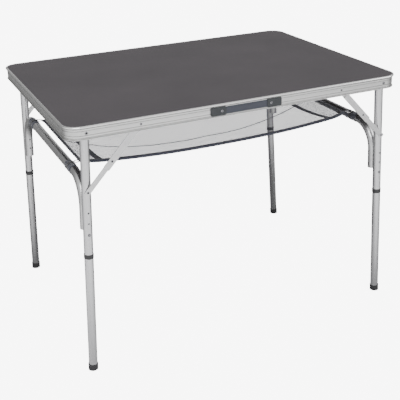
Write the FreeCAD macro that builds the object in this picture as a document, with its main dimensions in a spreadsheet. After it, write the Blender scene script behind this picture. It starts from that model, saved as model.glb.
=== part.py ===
import FreeCAD, Part
import math
import os
import Sketcher
from FreeCAD import Placement, Rotation, Vector

# Folding camping table. The top is a thin board held in a bent aluminium rail. An end frame of two
# legs joined by a U-shaped brace swings in under each end, held open by a two-link stay on each leg.
# The lower half of each leg plugs into the upper half and is held by a spring button. A mesh shelf
# hangs between the two braces, and a flat carrying handle is riveted to the front rail.
#
# Millimetres, +Z up, X along the top, the handle on the -Y side. The origin is on the floor below
# the middle of the top.

SIZES = {
    # the whole table
    "table_length": 1000.0,
    "table_width": 720.0,
    "table_height": 724.0,
    "corner_radius": 45.0,
    # the board and the rail round it
    "panel_thickness": 3.5,
    "panel_drop": 0.8,  # the board's surface below the top of the rail's bead
    "panel_tuck": 0.3,  # the board's edge past the face of the rail's wall
    "panel_gap": 0.3,
    "rail_height": 36.0,
    "rail_wall": 1.5,
    "bead_width": 6.0,
    "bead_radius": 3.0,
    "face_inset": 4.0,  # the rail's flat face behind its bead
    "ledge_reach": 10.0,
    "ledge_thickness": 1.3,
    "lip_reach": 2.0,
    "lip_height": 2.5,
    "groove_depth": 0.4,
    "groove_width": 1.0,
    "groove_pitch": 7.0,
    "rail_seam": 0.3,
    "splice_length": 90.0,
    "splice_height": 18.0,
    "splice_thickness": 1.6,
    "splice_drop": 21.0,  # the strip's middle below the top
    # the end frames
    "leg_radius": 12.5,
    "tube_wall": 1.2,
    "leg_splay": 2.88,
    "pivot_inset": 54.6,  # leg pivot from the end of the table
    "leg_inset": 26.2,  # leg axis from the side of the table
    "pivot_drop": 18.8,  # leg pivot below the top
    "leg_above_pivot": 4.0,
    "plug_depth": 22.0,
    "plug_clearance": 0.05,
    "plug_crown": 0.6,
    "collar_top": 341.4,  # along the leg, below its pivot
    "collar_height": 13.0,
    "collar_radius": 13.5,
    "collar_chamfer": 0.8,
    "brace_radius": 13.0,
    "brace_drop": 142.4,  # the brace's cross tube below the pivot, along the leg
    "brace_end_drop": 278.6,
    "brace_bend": 75.0,
    "brace_gap": 0.2,
    "brace_rivet_space": 3.1,  # the upper rivet below the end of the brace's bend
    "brace_rivet_pitch": 30.3,
    "brace_rivet_head_radius": 2.8,
    # the plug-in lower legs
    "spigot_clearance": 0.08,
    "spigot_wall": 1.2,
    "spigot_reach": 75.0,  # into the upper leg
    "spigot_root": 45.0,  # into the lower leg
    "foot_radius": 14.0,
    "foot_height": 18.0,
    "foot_wall": 1.5,
    "foot_sole": 4.0,
    "button_radius": 3.8,
    "button_clearance": 0.2,
    "button_rise": 58.0,  # above the collar
    "button_proud": 2.5,
    "button_round": 1.6,
    "strip_width": 8.0,
    "strip_thickness": 0.6,
    "strip_length": 42.0,
    "strip_inset": 1.1,  # the strip's arms inside the spigot's bore
    "arm_straight": 12.0,  # the straight part of each arm, behind the button
    # pivots and rivets
    "bolt_radius": 3.0,
    "bolt_head_radius": 4.5,
    "bolt_head_height": 2.0,
    "pin_clearance": 0.05,
    "side_clearance": 0.3,
    "push_fit": 0.02,  # between pieces that are pushed together
    "washer_gap": 0.1,
    "washer_radius": 6.25,
    "spacer_radius": 7.0,
    "rivet_radius": 2.0,
    "rivet_head_radius": 3.5,
    "rivet_head_height": 1.3,
    "rivet_tail_height": 1.0,
    "tail_room": 0.7,  # a tail inside a tube stands off its curved wall
    # the stays
    "stay_thickness": 1.8,
    "stay_width": 18.5,
    "lower_stay_width": 14.5,
    "stay_rail_inset": 198.6,  # stay's rail pivot from the end of the table
    "stay_leg_drop": 161.9,  # stay's leg pivot below the leg's own pivot
    "stay_overlap": 26.0,
    "stay_end": 7.5,
    "joggle_start": 23.0,
    "joggle_length": 6.0,
    "joggle_depth": 2.0,
    "stay_corner": 3.0,
    # the mesh shelf
    "net_sag": 57.0,
    "net_thickness": 1.0,
    "net_past_sleeve": 5.0,  # the net's long edge past the middle of its sleeves
    "sleeve_length": 50.0,
    "sleeve_space": 3.1,  # between a sleeve and the start of the brace's bend
    "sleeve_wall": 1.0,
    "sleeve_gap": 0.1,
    # the handle
    "handle_length": 212.0,
    "handle_centre_drop": 19.5,
    "cap_length": 44.0,
    "cap_height": 23.0,
    "cap_wall": 1.5,
    "cap_corner": 2.5,
    "strap_height": 19.0,
    "strap_thickness": 2.2,
    "strap_inside": 36.0,
    "strap_clearance": 0.2,
    "strap_corner": 4.0,
    "handle_rivet_spread": 148.0,
    "handle_rivet_head_height": 0.8,
}

doc = FreeCAD.newDocument("FoldingTable")
sheet = doc.addObject("Spreadsheet::Sheet", "Sizes")
for row, (alias, number) in enumerate(SIZES.items(), start=1):
    sheet.set(f"A{row}", alias)
    sheet.set(f"B{row}", str(number))
    sheet.setAlias(f"B{row}", alias)
doc.recompute()


class Size:
    """A number together with the sheet expression that it comes from."""

    def __init__(self, value, text):
        self.value = value
        self.text = text

    def __add__(self, other):
        other = as_size(other)
        return Size(self.value + other.value, f"({self.text} + {other.text})")

    def __sub__(self, other):
        other = as_size(other)
        return Size(self.value - other.value, f"({self.text} - {other.text})")

    def __mul__(self, other):
        other = as_size(other)
        return Size(self.value * other.value, f"({self.text} * {other.text})")

    __rmul__ = __mul__

    def __truediv__(self, other):
        other = as_size(other)
        return Size(self.value / other.value, f"({self.text} / {other.text})")

    def __neg__(self):
        return Size(-self.value, f"(0 - {self.text})")


def as_size(number):
    """A Size from a plain number, or the Size itself."""
    return number if isinstance(number, Size) else Size(float(number), f"{float(number)}")


def cell(alias):
    return Size(float(sheet.get(alias)), f"Sizes.{alias}")


def bind(thing, name, size):
    """Set a property and tie it to the sheet."""
    size = as_size(size)
    thing.setExpression(name, size.text)


OVER = 2.0  # how far a cutting tool runs past the face that it opens
THROUGH = 40.0  # the depth of a cut that goes right through a plate
SPLAY = float(sheet.get("leg_splay"))
COS = Size(math.cos(math.radians(SPLAY)), "cos(Sizes.leg_splay * 1 deg)")
SIN = Size(math.sin(math.radians(SPLAY)), "sin(Sizes.leg_splay * 1 deg)")
TAN = SIN / COS

NODES = []  # the finished sub-parts
SIDES = {"left": -1, "right": 1}
FACES = {"front": -1, "back": 1}


def finish(thing, label, placement=None):
    """Name a sub-part, put it in its place and keep it for export."""
    thing.Label = label
    if placement is not None:
        thing.Placement = placement
    NODES.append(thing)
    return thing


# ---------------------------------------------------------------- plain building blocks


def cylinder(radius, height, base=Vector(), axis=Vector(0, 0, 1)):
    """A cylinder from base along axis."""
    thing = doc.addObject("Part::Cylinder", "Cylinder")
    bind(thing, "Radius", radius)
    bind(thing, "Height", height)
    thing.Placement = Placement(base, Rotation(Vector(0, 0, 1), axis))
    return thing


def dome(radius, height):
    """A low round cap on z = 0, cut from a sphere."""
    ball = (radius * radius + height * height) / (height * 2)
    thing = doc.addObject("Part::Sphere", "Dome")
    bind(thing, "Radius", ball)
    thing.setExpression("Angle1", f"asin({((ball - height) / ball).text})")
    thing.Placement = Placement(Vector(0, 0, (height - ball).value), Rotation())
    return thing


def block(length, width, height, corner=Vector()):
    """A box with its lowest corner at corner."""
    thing = doc.addObject("Part::Box", "Box")
    bind(thing, "Length", length)
    bind(thing, "Width", width)
    bind(thing, "Height", height)
    thing.Placement = Placement(corner, Rotation())
    return thing


def cut(base, tools):
    """Base with each tool taken away."""
    for tool in tools:
        thing = doc.addObject("Part::Cut", "Cut")
        thing.Base = base
        thing.Tool = tool
        base = thing
    return base


def fuse(pieces):
    thing = doc.addObject("Part::MultiFuse", "Fuse")
    thing.Shapes = pieces
    return thing


def common(first, second):
    thing = doc.addObject("Part::Common", "Common")
    thing.Base = first
    thing.Tool = second
    return thing


def group(pieces):
    """Identical separate solids that share one node."""
    thing = doc.addObject("Part::Compound", "Group")
    thing.Links = pieces
    return thing


def tube(radius, wall, length, base, axis):
    """A round tube, open at both ends."""
    outer = cylinder(radius, length, base, axis)
    bore = cylinder(radius - wall, length + OVER * 2, base - axis * OVER, axis)
    return cut(outer, [bore])


def rivet(head_radius, head_height, shank_radius, grip, tail_radius, tail_height):
    """A rivet along local Z: the head above z = 0, the grip below it, then the tail."""
    head = dome(head_radius, head_height)
    shank = cylinder(shank_radius, grip, Vector(0, 0, -as_size(grip).value))
    pieces = [head, shank]
    if tail_height is not None:
        drop = as_size(grip).value + as_size(tail_height).value
        pieces.append(cylinder(tail_radius, tail_height, Vector(0, 0, -drop)))
    return fuse(pieces)


def origin_plane(body, role):
    for feature in body.Origin.OriginFeatures:
        if feature.Role == role:
            return feature
    raise ValueError(role)


def new_sketch(body, role, name):
    """A sketch on one of the body's own origin planes."""
    sketch = body.newObject("Sketcher::SketchObject", name)
    sketch.AttachmentSupport = [(origin_plane(body, role), "")]
    sketch.MapMode = "FlatFace"
    return sketch


def pin_down(sketch, geometry, point, across, up):
    """Fix one point of a sketch at two sizes from its origin."""
    for kind, size in (("DistanceX", as_size(across)), ("DistanceY", as_size(up))):
        constraint = Sketcher.Constraint(kind, -1, 1, geometry, point, size.value)
        index = sketch.addConstraint(constraint)
        sketch.setExpression(f"Constraints[{index}]", size.text)


def draw_outline(sketch, points):
    """A closed outline of straight lines through points, each fixed to the sheet's sizes."""
    places = [Vector(as_size(x).value, as_size(y).value, 0) for x, y in points]
    count = len(places)
    for i in range(count):
        sketch.addGeometry(Part.LineSegment(places[i], places[(i + 1) % count]), False)
    for i in range(count):
        sketch.addConstraint(Sketcher.Constraint("Coincident", i, 2, (i + 1) % count, 1))
        pin_down(sketch, i, 1, *points[i])


def draw_circle(sketch, radius, across=0, up=0):
    centre = Vector(as_size(across).value, as_size(up).value, 0)
    index = sketch.addGeometry(Part.Circle(centre, Vector(0, 0, 1), as_size(radius).value), False)
    pin_down(sketch, index, 3, across, up)
    constraint = sketch.addConstraint(Sketcher.Constraint("Radius", index, as_size(radius).value))
    sketch.setExpression(f"Constraints[{constraint}]", as_size(radius).text)


def pad(body, sketch, length, midplane=True):
    thing = body.newObject("PartDesign::Pad", "Pad")
    thing.Profile = sketch
    bind(thing, "Length", length)
    thing.Midplane = midplane
    return thing


def pocket(body, sketch, length):
    """Cut a sketch's outline through the body, evenly about the sketch's plane."""
    doc.recompute()
    before = body.Shape.Volume
    thing = body.newObject("PartDesign::Pocket", "Pocket")
    thing.Profile = sketch
    bind(thing, "Length", length)
    thing.Midplane = True
    doc.recompute()
    if body.Shape.Volume > before - 0.01:
        raise RuntimeError(f"{body.Name}: the pocket cuts nothing")
    return thing


def round_edges(body, feature, radius, axis, corners=None):
    """Round the body's straight edges that run along axis, or those that the test corners accepts."""
    doc.recompute()
    names = []
    for number, edge in enumerate(body.Shape.Edges, start=1):
        first, last = edge.Vertexes[0].Point, edge.Vertexes[-1].Point
        run = last - first
        if isinstance(edge.Curve, Part.Line) and abs(run.normalize() * axis) > 0.999:
            if corners is None or corners(first):
                names.append(f"Edge{number}")
    thing = body.newObject("PartDesign::Fillet", "Fillet")
    thing.Base = (feature, names)
    bind(thing, "Radius", radius)
    return thing


def revolve(body, sketch):
    """Turn a sketch on the XZ plane about the body's Z axis."""
    thing = body.newObject("PartDesign::Revolution", "Revolution")
    thing.Profile = sketch
    thing.ReferenceAxis = (sketch, ["V_Axis"])
    thing.Angle = 360
    return thing


# ---------------------------------------------------------------- where things are

half_length = cell("table_length") / 2
half_width = cell("table_width") / 2
top = cell("table_height")
pivot_across = half_length - cell("pivot_inset")
pivot_height = top - cell("pivot_drop")
leg_across = half_width - cell("leg_inset")
leg_radius = cell("leg_radius")
rail_face = half_width - cell("face_inset")  # the flat outer face of the long rails
rail_back = rail_face - cell("rail_wall")
stay_across = half_length - cell("stay_rail_inset")
side_gap = cell("side_clearance")
pin_gap = cell("pin_clearance")

# the stay's layers, from the rail inwards, as distances from the table's centre plane
tab_outer = rail_back - side_gap
tab_inner = tab_outer - cell("stay_thickness")
upper_outer = tab_outer - cell("joggle_depth")
upper_inner = upper_outer - cell("stay_thickness")
lower_outer = upper_inner - side_gap
lower_inner = lower_outer - cell("stay_thickness")
leg_face = leg_across + leg_radius

foot_bottom = pivot_height / COS  # along the leg, before the foot's flat sole is cut level
brace_reach = leg_across - leg_radius - cell("brace_gap") - cell("brace_radius")


def root(size):
    return Size(math.sqrt(size.value), f"sqrt({size.text})")


# The two links are in line when the leg is open, and lie along each other when it is folded up
# under the top, so half the sum and half the difference of those two spans are their lengths.
stay_reach = pivot_across + cell("stay_leg_drop") * SIN - stay_across
stay_fall = cell("stay_leg_drop") * COS
open_span = root(stay_reach * stay_reach + stay_fall * stay_fall)
folded_span = stay_across - pivot_across + cell("stay_leg_drop")
upper_stay = (open_span + folded_span) / 2
lower_stay = (open_span - folded_span) / 2
stay_angle = math.degrees(math.atan2(stay_fall.value, stay_reach.value))


def leg_frame(side, across=0.0):
    """The place of an end frame's own axes: its origin on the leg pivot, -Z down the splayed leg."""
    base = Vector(side * pivot_across.value, across, pivot_height.value)
    return Placement(base, Rotation(Vector(0, 1, 0), -side * SPLAY))


def facing(face):
    """Turns a piece that is drawn for the front leg so that it faces front or back."""
    return Rotation() if face < 0 else Rotation(Vector(0, 0, 1), 180)


# ---------------------------------------------------------------- the top


def rail_section():
    """The rail's section as a wire at the middle of the back rail: across is inwards, down is down."""
    drop, thick = cell("panel_drop").value, cell("panel_thickness").value
    bead, radius = cell("bead_width").value, cell("bead_radius").value
    face, wall = cell("face_inset").value, cell("rail_wall").value
    tall, lip = cell("rail_height").value, cell("lip_height").value
    slot = face + wall - cell("panel_gap").value - cell("panel_tuck").value
    ledge = drop + thick
    below = ledge + cell("ledge_thickness").value
    reach = face + wall + cell("ledge_reach").value
    outline = [
        (radius, 0),
        (bead, 0),
        (bead, drop),
        (slot, drop),
        (slot, ledge),
        (reach, ledge),
        (reach, below),
        (face + wall, below),
        (face + wall, tall),
        (face - cell("lip_reach").value, tall),
        (face - cell("lip_reach").value, tall - lip),
        (face, tall - lip),
    ]
    deep = face + cell("groove_depth").value
    width = cell("groove_width").value
    for number in (3, 2, 1):
        low = 2 * radius + number * cell("groove_pitch").value
        outline += [(face, low), (deep, low), (deep, low - width), (face, low - width)]
    outline += [(face, 2 * radius), (radius, 2 * radius)]
    edge, level = half_width.value, top.value
    points = [Vector(0, edge - across, level - down) for across, down in outline]
    nose = Part.Arc(points[-1], Vector(0, edge, level - radius), points[0])
    lines = [Part.LineSegment(a, b) for a, b in zip(points, points[1:])]
    return Part.Wire([piece.toShape() for piece in lines + [nose]])


def rail_path():
    """The rail's outer edge, from one side of the seam at the middle of the back to the other."""
    x, y, z = half_length.value, half_width.value, top.value
    bend, seam = cell("corner_radius").value, cell("rail_seam").value / 2
    slant = bend * (1 - math.sqrt(0.5))
    edges = [Part.LineSegment(Vector(seam, y, z), Vector(x - bend, y, z))]
    turns = [(1, 1), (1, -1), (-1, -1), (-1, 1)]
    for number, (sx, sy) in enumerate(turns):
        along_x = Vector(sx * (x - bend), sy * y, z)
        along_y = Vector(sx * x, sy * (y - bend), z)
        middle = Vector(sx * (x - slant), sy * (y - slant), z)
        start, end = (along_x, along_y) if number % 2 == 0 else (along_y, along_x)
        edges.append(Part.Arc(start, middle, end))
        if number < 3:
            nx, ny = turns[number + 1]
            if number % 2 == 0:
                following = Vector(nx * x, ny * (y - bend), z)
            else:
                following = Vector(nx * (x - bend), ny * y, z)
            edges.append(Part.LineSegment(end, following))
    edges.append(Part.LineSegment(Vector(bend - x, y, z), Vector(-seam, y, z)))
    return Part.Wire([edge.toShape() for edge in edges])


def rail_blank():
    """The bent extrusion before its holes: one section swept round the table's outline."""
    section = rail_section()
    section.translate(Vector(cell("rail_seam").value / 2, 0, 0))
    blank = doc.addObject("Part::Feature", "RailBlank")
    blank.Shape = rail_path().makePipeShell([section], True, False)
    return blank


def rail_hole(radius, across, height, face):
    """A hole through a long rail's wall, at across and height."""
    base = Vector(across, face * (rail_back.value - OVER), height)
    return cylinder(radius, cell("rail_wall") + OVER * 2, base, Vector(0, face, 0))


def build_board(name, inset):
    """A board as thick as the panel, with its edge inset from the table's outline."""
    body = doc.addObject("PartDesign::Body", name)
    sketch = new_sketch(body, "XY_Plane", "BoardOutline")
    x, y = half_length - inset, half_width - inset
    draw_outline(sketch, [(-x, -y), (x, -y), (x, y), (-x, y)])
    board = pad(body, sketch, cell("panel_thickness"), midplane=False)
    round_edges(body, board, cell("corner_radius") - inset, Vector(0, 0, 1))
    return body


def build_top():
    radius = cell("rivet_radius")
    holes = []
    level = pivot_height.value
    for face in FACES.values():
        for side in SIDES.values():
            holes.append(rail_hole(cell("bolt_radius"), side * pivot_across.value, level, face))
            holes.append(rail_hole(radius, side * stay_across.value, level, face))
    spread = cell("handle_rivet_spread").value / 2
    for side in SIDES.values():
        holes.append(rail_hole(radius, side * spread, handle_level.value, -1))
    for place in splice_rivets:
        holes.append(rail_hole(radius, place, splice_level.value, 1))
    finish(cut(rail_blank(), [fuse(holes)]), "frame_rail")

    # The board's edge is tucked under the bead. The area that shows inside the bead is a face of
    # its own, because only that much of the board can take what is set down on it.
    whole = build_board("Board", cell("face_inset") + cell("rail_wall") - cell("panel_tuck"))
    shown = build_board("ShownBoard", cell("bead_width") + cell("push_fit"))
    board = fuse([cut(whole, [shown]), shown])
    board.Refine = False
    level = top - cell("panel_drop") - cell("panel_thickness")
    finish(board, "tabletop_panel", Placement(Vector(0, 0, level.value), Rotation()))

    # a flat strip inside the back rail joins the two ends of the bent extrusion
    strip = block(
        cell("splice_length"),
        cell("splice_thickness"),
        cell("splice_height"),
        Vector(
            -cell("splice_length").value / 2,
            rail_back.value - cell("splice_thickness").value,
            splice_level.value - cell("splice_height").value / 2,
        ),
    )
    depth = cell("splice_thickness") + OVER * 2
    start = rail_back.value + OVER - depth.value
    holes = [
        cylinder(radius, depth, Vector(place, start, splice_level.value), Vector(0, 1, 0))
        for place in splice_rivets
    ]
    finish(cut(strip, holes), "rail_splice")
    pieces = []
    for place in splice_rivets:
        piece = rivet(
            cell("rivet_head_radius"),
            cell("rivet_head_height"),
            radius,
            cell("rail_wall") + cell("splice_thickness"),
            cell("rivet_head_radius"),
            cell("rivet_tail_height"),
        )
        base = Vector(place, rail_face.value, splice_level.value)
        piece.Placement = Placement(base, Rotation(Vector(0, 0, 1), Vector(0, 1, 0)))
        pieces.append(piece)
    finish(group(pieces), "splice_rivets")


splice_level = top - cell("splice_drop")
splice_rivets = [cell("splice_length").value * share for share in (-0.375, -0.125, 0.125, 0.375)]
handle_level = top - cell("handle_centre_drop")
build_top()


# ---------------------------------------------------------------- the leg pivots on the top


def build_pivots():
    bolts, spacers, pins = [], [], []
    for face in FACES.values():
        outward = Rotation(Vector(0, 0, 1), Vector(0, face, 0))
        for side in SIDES.values():
            at = Vector(side * pivot_across.value, 0, pivot_height.value)
            inner_face = leg_across - leg_radius
            bolt = rivet(
                cell("bolt_head_radius"),
                cell("bolt_head_height"),
                cell("bolt_radius"),
                rail_face - inner_face + side_gap,
                cell("bolt_head_radius"),
                cell("bolt_head_height"),
            )
            bolt.Placement = Placement(at + Vector(0, face * rail_face.value, 0), outward)
            bolts.append(bolt)
            spacer = tube(
                cell("spacer_radius"),
                cell("spacer_radius") - cell("bolt_radius") - pin_gap,
                rail_back - leg_face - side_gap,
                at + Vector(0, face * (leg_face + side_gap).value, 0),
                Vector(0, face, 0),
            )
            spacers.append(spacer)
            pin = rivet(
                cell("rivet_head_radius"),
                cell("rivet_head_height"),
                cell("rivet_radius"),
                rail_face - tab_inner + side_gap,
                cell("rivet_head_radius"),
                cell("rivet_tail_height"),
            )
            level = Vector(side * stay_across.value, face * rail_face.value, pivot_height.value)
            pin.Placement = Placement(level, outward)
            pins.append(pin)
    finish(group(bolts), "leg_pivot_bolts")
    finish(group(spacers), "leg_pivot_spacers")
    finish(group(pins), "stay_rail_rivets")


build_pivots()


# ---------------------------------------------------------------- the end frames


def drop_hole(radius, drop, start, end):
    """A tool for a hole across a leg, in the front leg's own axes, from y = start to y = end."""
    return cylinder(radius, end - start, Vector(0, start, -as_size(drop).value), Vector(0, 1, 0))


def build_leg(side, face, label):
    """An upper leg tube with its pivot hole, brace rivet holes, stay rivet hole and button hole."""
    above = cell("leg_above_pivot")
    length = above + cell("collar_top")
    base = Vector(0, 0, above.value)
    leg = tube(leg_radius, cell("tube_wall"), length, base, Vector(0, 0, -1))
    out = leg_radius.value + OVER
    tools = [drop_hole(cell("rivet_radius"), drop, -out, out) for drop in brace_rivet_drops]
    tools += [
        drop_hole(cell("bolt_radius") + pin_gap, 0, -out, out),
        drop_hole(cell("rivet_radius"), cell("stay_leg_drop"), -out, 0),
        drop_hole(cell("button_radius") + cell("button_clearance"), button_drop, -out, 0),
    ]
    leg = cut(leg, [fuse(tools)])
    place = leg_frame(side, face * leg_across.value)
    finish(leg, label, place.multiply(Placement(Vector(), facing(face))))


def build_plugs(side, label):
    """Rounded plugs in the tops of the legs, which the pivot bolts pass through."""
    plugs = []
    for face in FACES.values():
        above, deep = cell("leg_above_pivot"), cell("plug_depth")
        inside = leg_radius - cell("tube_wall") - cell("plug_clearance")
        stem = cylinder(inside, above + deep + OVER, Vector(0, 0, -deep.value))
        head = cylinder(leg_radius, leg_radius, Vector(0, 0, (above + cell("push_fit")).value))
        width = leg_radius.value + OVER
        across = Vector(0, -width, 0)
        round_end = cylinder(leg_radius + cell("plug_crown"), 2 * width, across, Vector(0, 1, 0))
        plug = fuse([stem, common(head, round_end)])
        hole = drop_hole(cell("bolt_radius") + pin_gap, 0, -width, width)
        plug = cut(plug, [hole])
        plug.Placement = leg_frame(side, face * leg_across.value)
        plugs.append(plug)
    finish(group(plugs), label)


def build_brace(side, label):
    """The U-shaped brace: one bent tube in the plane of the legs, against their inner sides."""
    bend, level, end = cell("brace_bend"), cell("brace_drop"), cell("brace_end_drop")
    y, radius = brace_reach.value, bend.value
    z, low = -level.value, -end.value
    slant = radius * (1 - math.sqrt(0.5))
    run = [
        Part.LineSegment(Vector(0, -y, low), Vector(0, -y, z - radius)),
        Part.Arc(Vector(0, -y, z - radius), Vector(0, slant - y, z - slant), Vector(0, radius - y, z)),
        Part.LineSegment(Vector(0, radius - y, z), Vector(0, y - radius, z)),
        Part.Arc(Vector(0, y - radius, z), Vector(0, y - slant, z - slant), Vector(0, y, z - radius)),
        Part.LineSegment(Vector(0, y, z - radius), Vector(0, y, low)),
    ]
    path = Part.Wire([piece.toShape() for piece in run])
    outer = cell("brace_radius").value
    rings = []
    for size in (outer, outer - cell("tube_wall").value):
        ring = Part.Wire(Part.makeCircle(size, Vector(0, -y, low), Vector(0, 0, 1)))
        rings.append(path.makePipeShell([ring], True, False))
    blank = doc.addObject("Part::Feature", "BraceBlank")
    blank.Shape = rings[0].cut(rings[1])
    across = leg_across.value + OVER
    tools = [
        cylinder(cell("rivet_radius"), 2 * across, Vector(0, -across, -drop.value), Vector(0, 1, 0))
        for drop in brace_rivet_drops
    ]
    finish(cut(blank, [fuse(tools)]), label, leg_frame(side))


def build_brace_rivets(side, label):
    pieces = []
    grip = 2 * leg_radius + cell("brace_gap") + 2 * cell("brace_radius")
    for face in FACES.values():
        for drop in brace_rivet_drops:
            piece = rivet(
                cell("brace_rivet_head_radius"),
                cell("rivet_head_height"),
                cell("rivet_radius"),
                grip,
                cell("brace_rivet_head_radius"),
                cell("rivet_tail_height"),
            )
            at = Placement(
                Vector(0, face * leg_face.value, -drop.value),
                Rotation(Vector(0, 0, 1), Vector(0, face, 0)),
            )
            piece.Placement = leg_frame(side).multiply(at)
            pieces.append(piece)
    finish(group(pieces), label)


def build_stay_mounts(side, name):
    """On each leg, the washer that holds the stay off the tube, and the rivet through both."""
    washers, pins = [], []
    seat = leg_face + cell("washer_gap")
    thickness = lower_inner - side_gap - seat
    for face in FACES.values():
        outward = Vector(0, face, 0)
        drop = -cell("stay_leg_drop").value
        at = Placement(Vector(0, face * seat.value, drop), Rotation())
        washer = tube(
            cell("washer_radius"),
            cell("washer_radius") - cell("rivet_radius"),
            thickness,
            Vector(),
            outward,
        )
        washer.Placement = leg_frame(side).multiply(at)
        washers.append(washer)
        pin = rivet(
            cell("rivet_head_radius"),
            cell("rivet_head_height"),
            cell("rivet_radius"),
            lower_outer + side_gap - leg_face + cell("tube_wall") + cell("tail_room"),
            cell("rivet_head_radius"),
            cell("rivet_tail_height"),
        )
        at = Placement(
            Vector(0, face * (lower_outer + side_gap).value, drop),
            Rotation(Vector(0, 0, 1), outward),
        )
        pin.Placement = leg_frame(side).multiply(at)
        pins.append(pin)
    finish(group(washers), f"stay_washers_{name}")
    finish(group(pins), f"stay_leg_rivets_{name}")


button_drop = cell("collar_top") - cell("button_rise")
first_rivet = cell("brace_drop") + cell("brace_bend") + cell("brace_rivet_space")
brace_rivet_drops = [first_rivet, first_rivet + cell("brace_rivet_pitch")]
for name, side in SIDES.items():
    for view, face in FACES.items():
        build_leg(side, face, f"upper_leg_{view}_{name}")
    build_plugs(side, f"leg_plugs_{name}")
    build_brace(side, f"brace_{name}")
    build_brace_rivets(side, f"brace_rivets_{name}")
    build_stay_mounts(side, name)


# ---------------------------------------------------------------- the plug-in lower legs


def build_collar(label, place):
    """The ring between the upper and lower tubes, which the upper tube rests on."""
    body = doc.addObject("PartDesign::Body", "CollarBody")
    sketch = new_sketch(body, "XZ_Plane", "CollarSection")
    high, low = -cell("collar_top"), -cell("collar_top") - cell("collar_height")
    bore = spigot_radius + cell("push_fit")
    edge, slant = cell("collar_radius"), cell("collar_chamfer")
    draw_outline(
        sketch,
        [
            (bore, low),
            (edge - slant, low),
            (edge, low + slant),
            (edge, high - slant),
            (edge - slant, high),
            (bore, high),
        ],
    )
    revolve(body, sketch)
    finish(body, label, place)


def build_foot(label, place):
    """A rubber cap over the lower end of the leg, with its sole cut level with the floor."""
    reach = cell("foot_radius")
    spare = reach / 2
    cap = cylinder(reach, cell("foot_height") + spare, Vector(0, 0, -(foot_bottom + spare).value))
    bore = cylinder(leg_radius + cell("push_fit"), cell("foot_height"), Vector(0, 0, -lower_end.value))
    side = 1 if place.Base.x > 0 else -1
    foot_across = side * (pivot_across + pivot_height * TAN).value
    size = reach * 4
    below = Vector(foot_across, place.Base.y, 0) - Vector(size.value / 2, size.value / 2, size.value)
    floor = block(size, size, size)
    floor.Placement = place.inverse().multiply(Placement(below, Rotation()))
    finish(cut(cap, [bore, floor]), label, place)


def build_button(label, place):
    """A spring button: a V-shaped strip inside the spigot with a button on its outer arm."""
    body = doc.addObject("PartDesign::Body", "ButtonBody")
    strip = new_sketch(body, "YZ_Plane", "StripSection")
    drop, thick = -button_drop, cell("strip_thickness")
    arm = spigot_radius - cell("spigot_wall") - cell("strip_inset")
    half = cell("arm_straight") / 2
    foot = drop - cell("strip_length")
    draw_outline(
        strip,
        [
            (-arm, drop + half),
            (-arm, drop - half),
            (-thick, foot),
            (thick, foot),
            (arm, drop - half),
            (arm, drop + half),
            (arm - thick, drop + half),
            (arm - thick, drop - half),
            (0, foot + thick * 3),
            (thick - arm, drop - half),
            (thick - arm, drop + half),
        ],
    )
    pad(body, strip, cell("strip_width"))
    doc.recompute()
    head = new_sketch(body, "XZ_Plane", "ButtonOutline")
    draw_circle(head, cell("button_radius"), 0, drop)
    thing = body.newObject("PartDesign::Pad", "ButtonPad")
    thing.Profile = head
    # from inside the strip's outer arm to just outside the leg
    head.AttachmentOffset = Placement(Vector(0, 0, (arm - thick / 2).value), Rotation())
    bind(thing, "Length", leg_radius + cell("button_proud") - arm + thick / 2)
    thing.Midplane = False
    doc.recompute()
    names = []
    for number, edge in enumerate(body.Shape.Edges, start=1):
        tip = -(leg_radius + cell("button_proud")).value
        if isinstance(edge.Curve, Part.Circle) and abs(edge.Curve.Center.y - tip) < 0.01:
            names.append(f"Edge{number}")
    rim = body.newObject("PartDesign::Fillet", "ButtonRim")
    rim.Base = (thing, names)
    bind(rim, "Radius", cell("button_round"))
    finish(body, label, place)


def build_extension(side, face, tag):
    place = leg_frame(side, face * leg_across.value).multiply(Placement(Vector(), facing(face)))
    start = cell("collar_top") + cell("collar_height")
    length = lower_end - start
    base = Vector(0, 0, -start.value)
    lower = tube(leg_radius, cell("tube_wall"), length, base, Vector(0, 0, -1))
    finish(lower, f"lower_leg_{tag}", place)

    reach = cell("spigot_reach") + cell("collar_height") + cell("spigot_root")
    base = Vector(0, 0, (cell("spigot_reach") - cell("collar_top")).value)
    spigot = tube(spigot_radius, cell("spigot_wall"), reach, base, Vector(0, 0, -1))
    room = cell("button_radius") + cell("button_clearance")
    hole = drop_hole(room, button_drop, -leg_radius.value, 0)
    finish(cut(spigot, [hole]), f"spigot_{tag}", place)

    build_collar(f"leg_collar_{tag}", place)
    twist = leg_frame(side, face * leg_across.value)
    build_foot(f"foot_cap_{tag}", twist)
    build_button(f"spring_button_{tag}", place)


spigot_radius = leg_radius - cell("tube_wall") - cell("spigot_clearance")
lower_end = foot_bottom - cell("foot_sole")
for name, side in SIDES.items():
    for view, face in FACES.items():
        build_extension(side, face, f"{view}_{name}")


# ---------------------------------------------------------------- the locking stays


def stay_place(side, face, pivot_x, pivot_z, layer):
    """A stay's own axes: X down along the link, its outer face on y = 0 and facing outwards."""
    along = Rotation(Vector(0, 1, 0), stay_angle)
    turn = Rotation(Vector(0, 0, 1), 180) if side < 0 else Rotation()
    out = Rotation(Vector(1, 0, 0), 180) if side * face > 0 else Rotation()
    base = Vector(pivot_x, face * layer, pivot_z)
    return Placement(base, turn.multiply(along).multiply(out))


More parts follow.
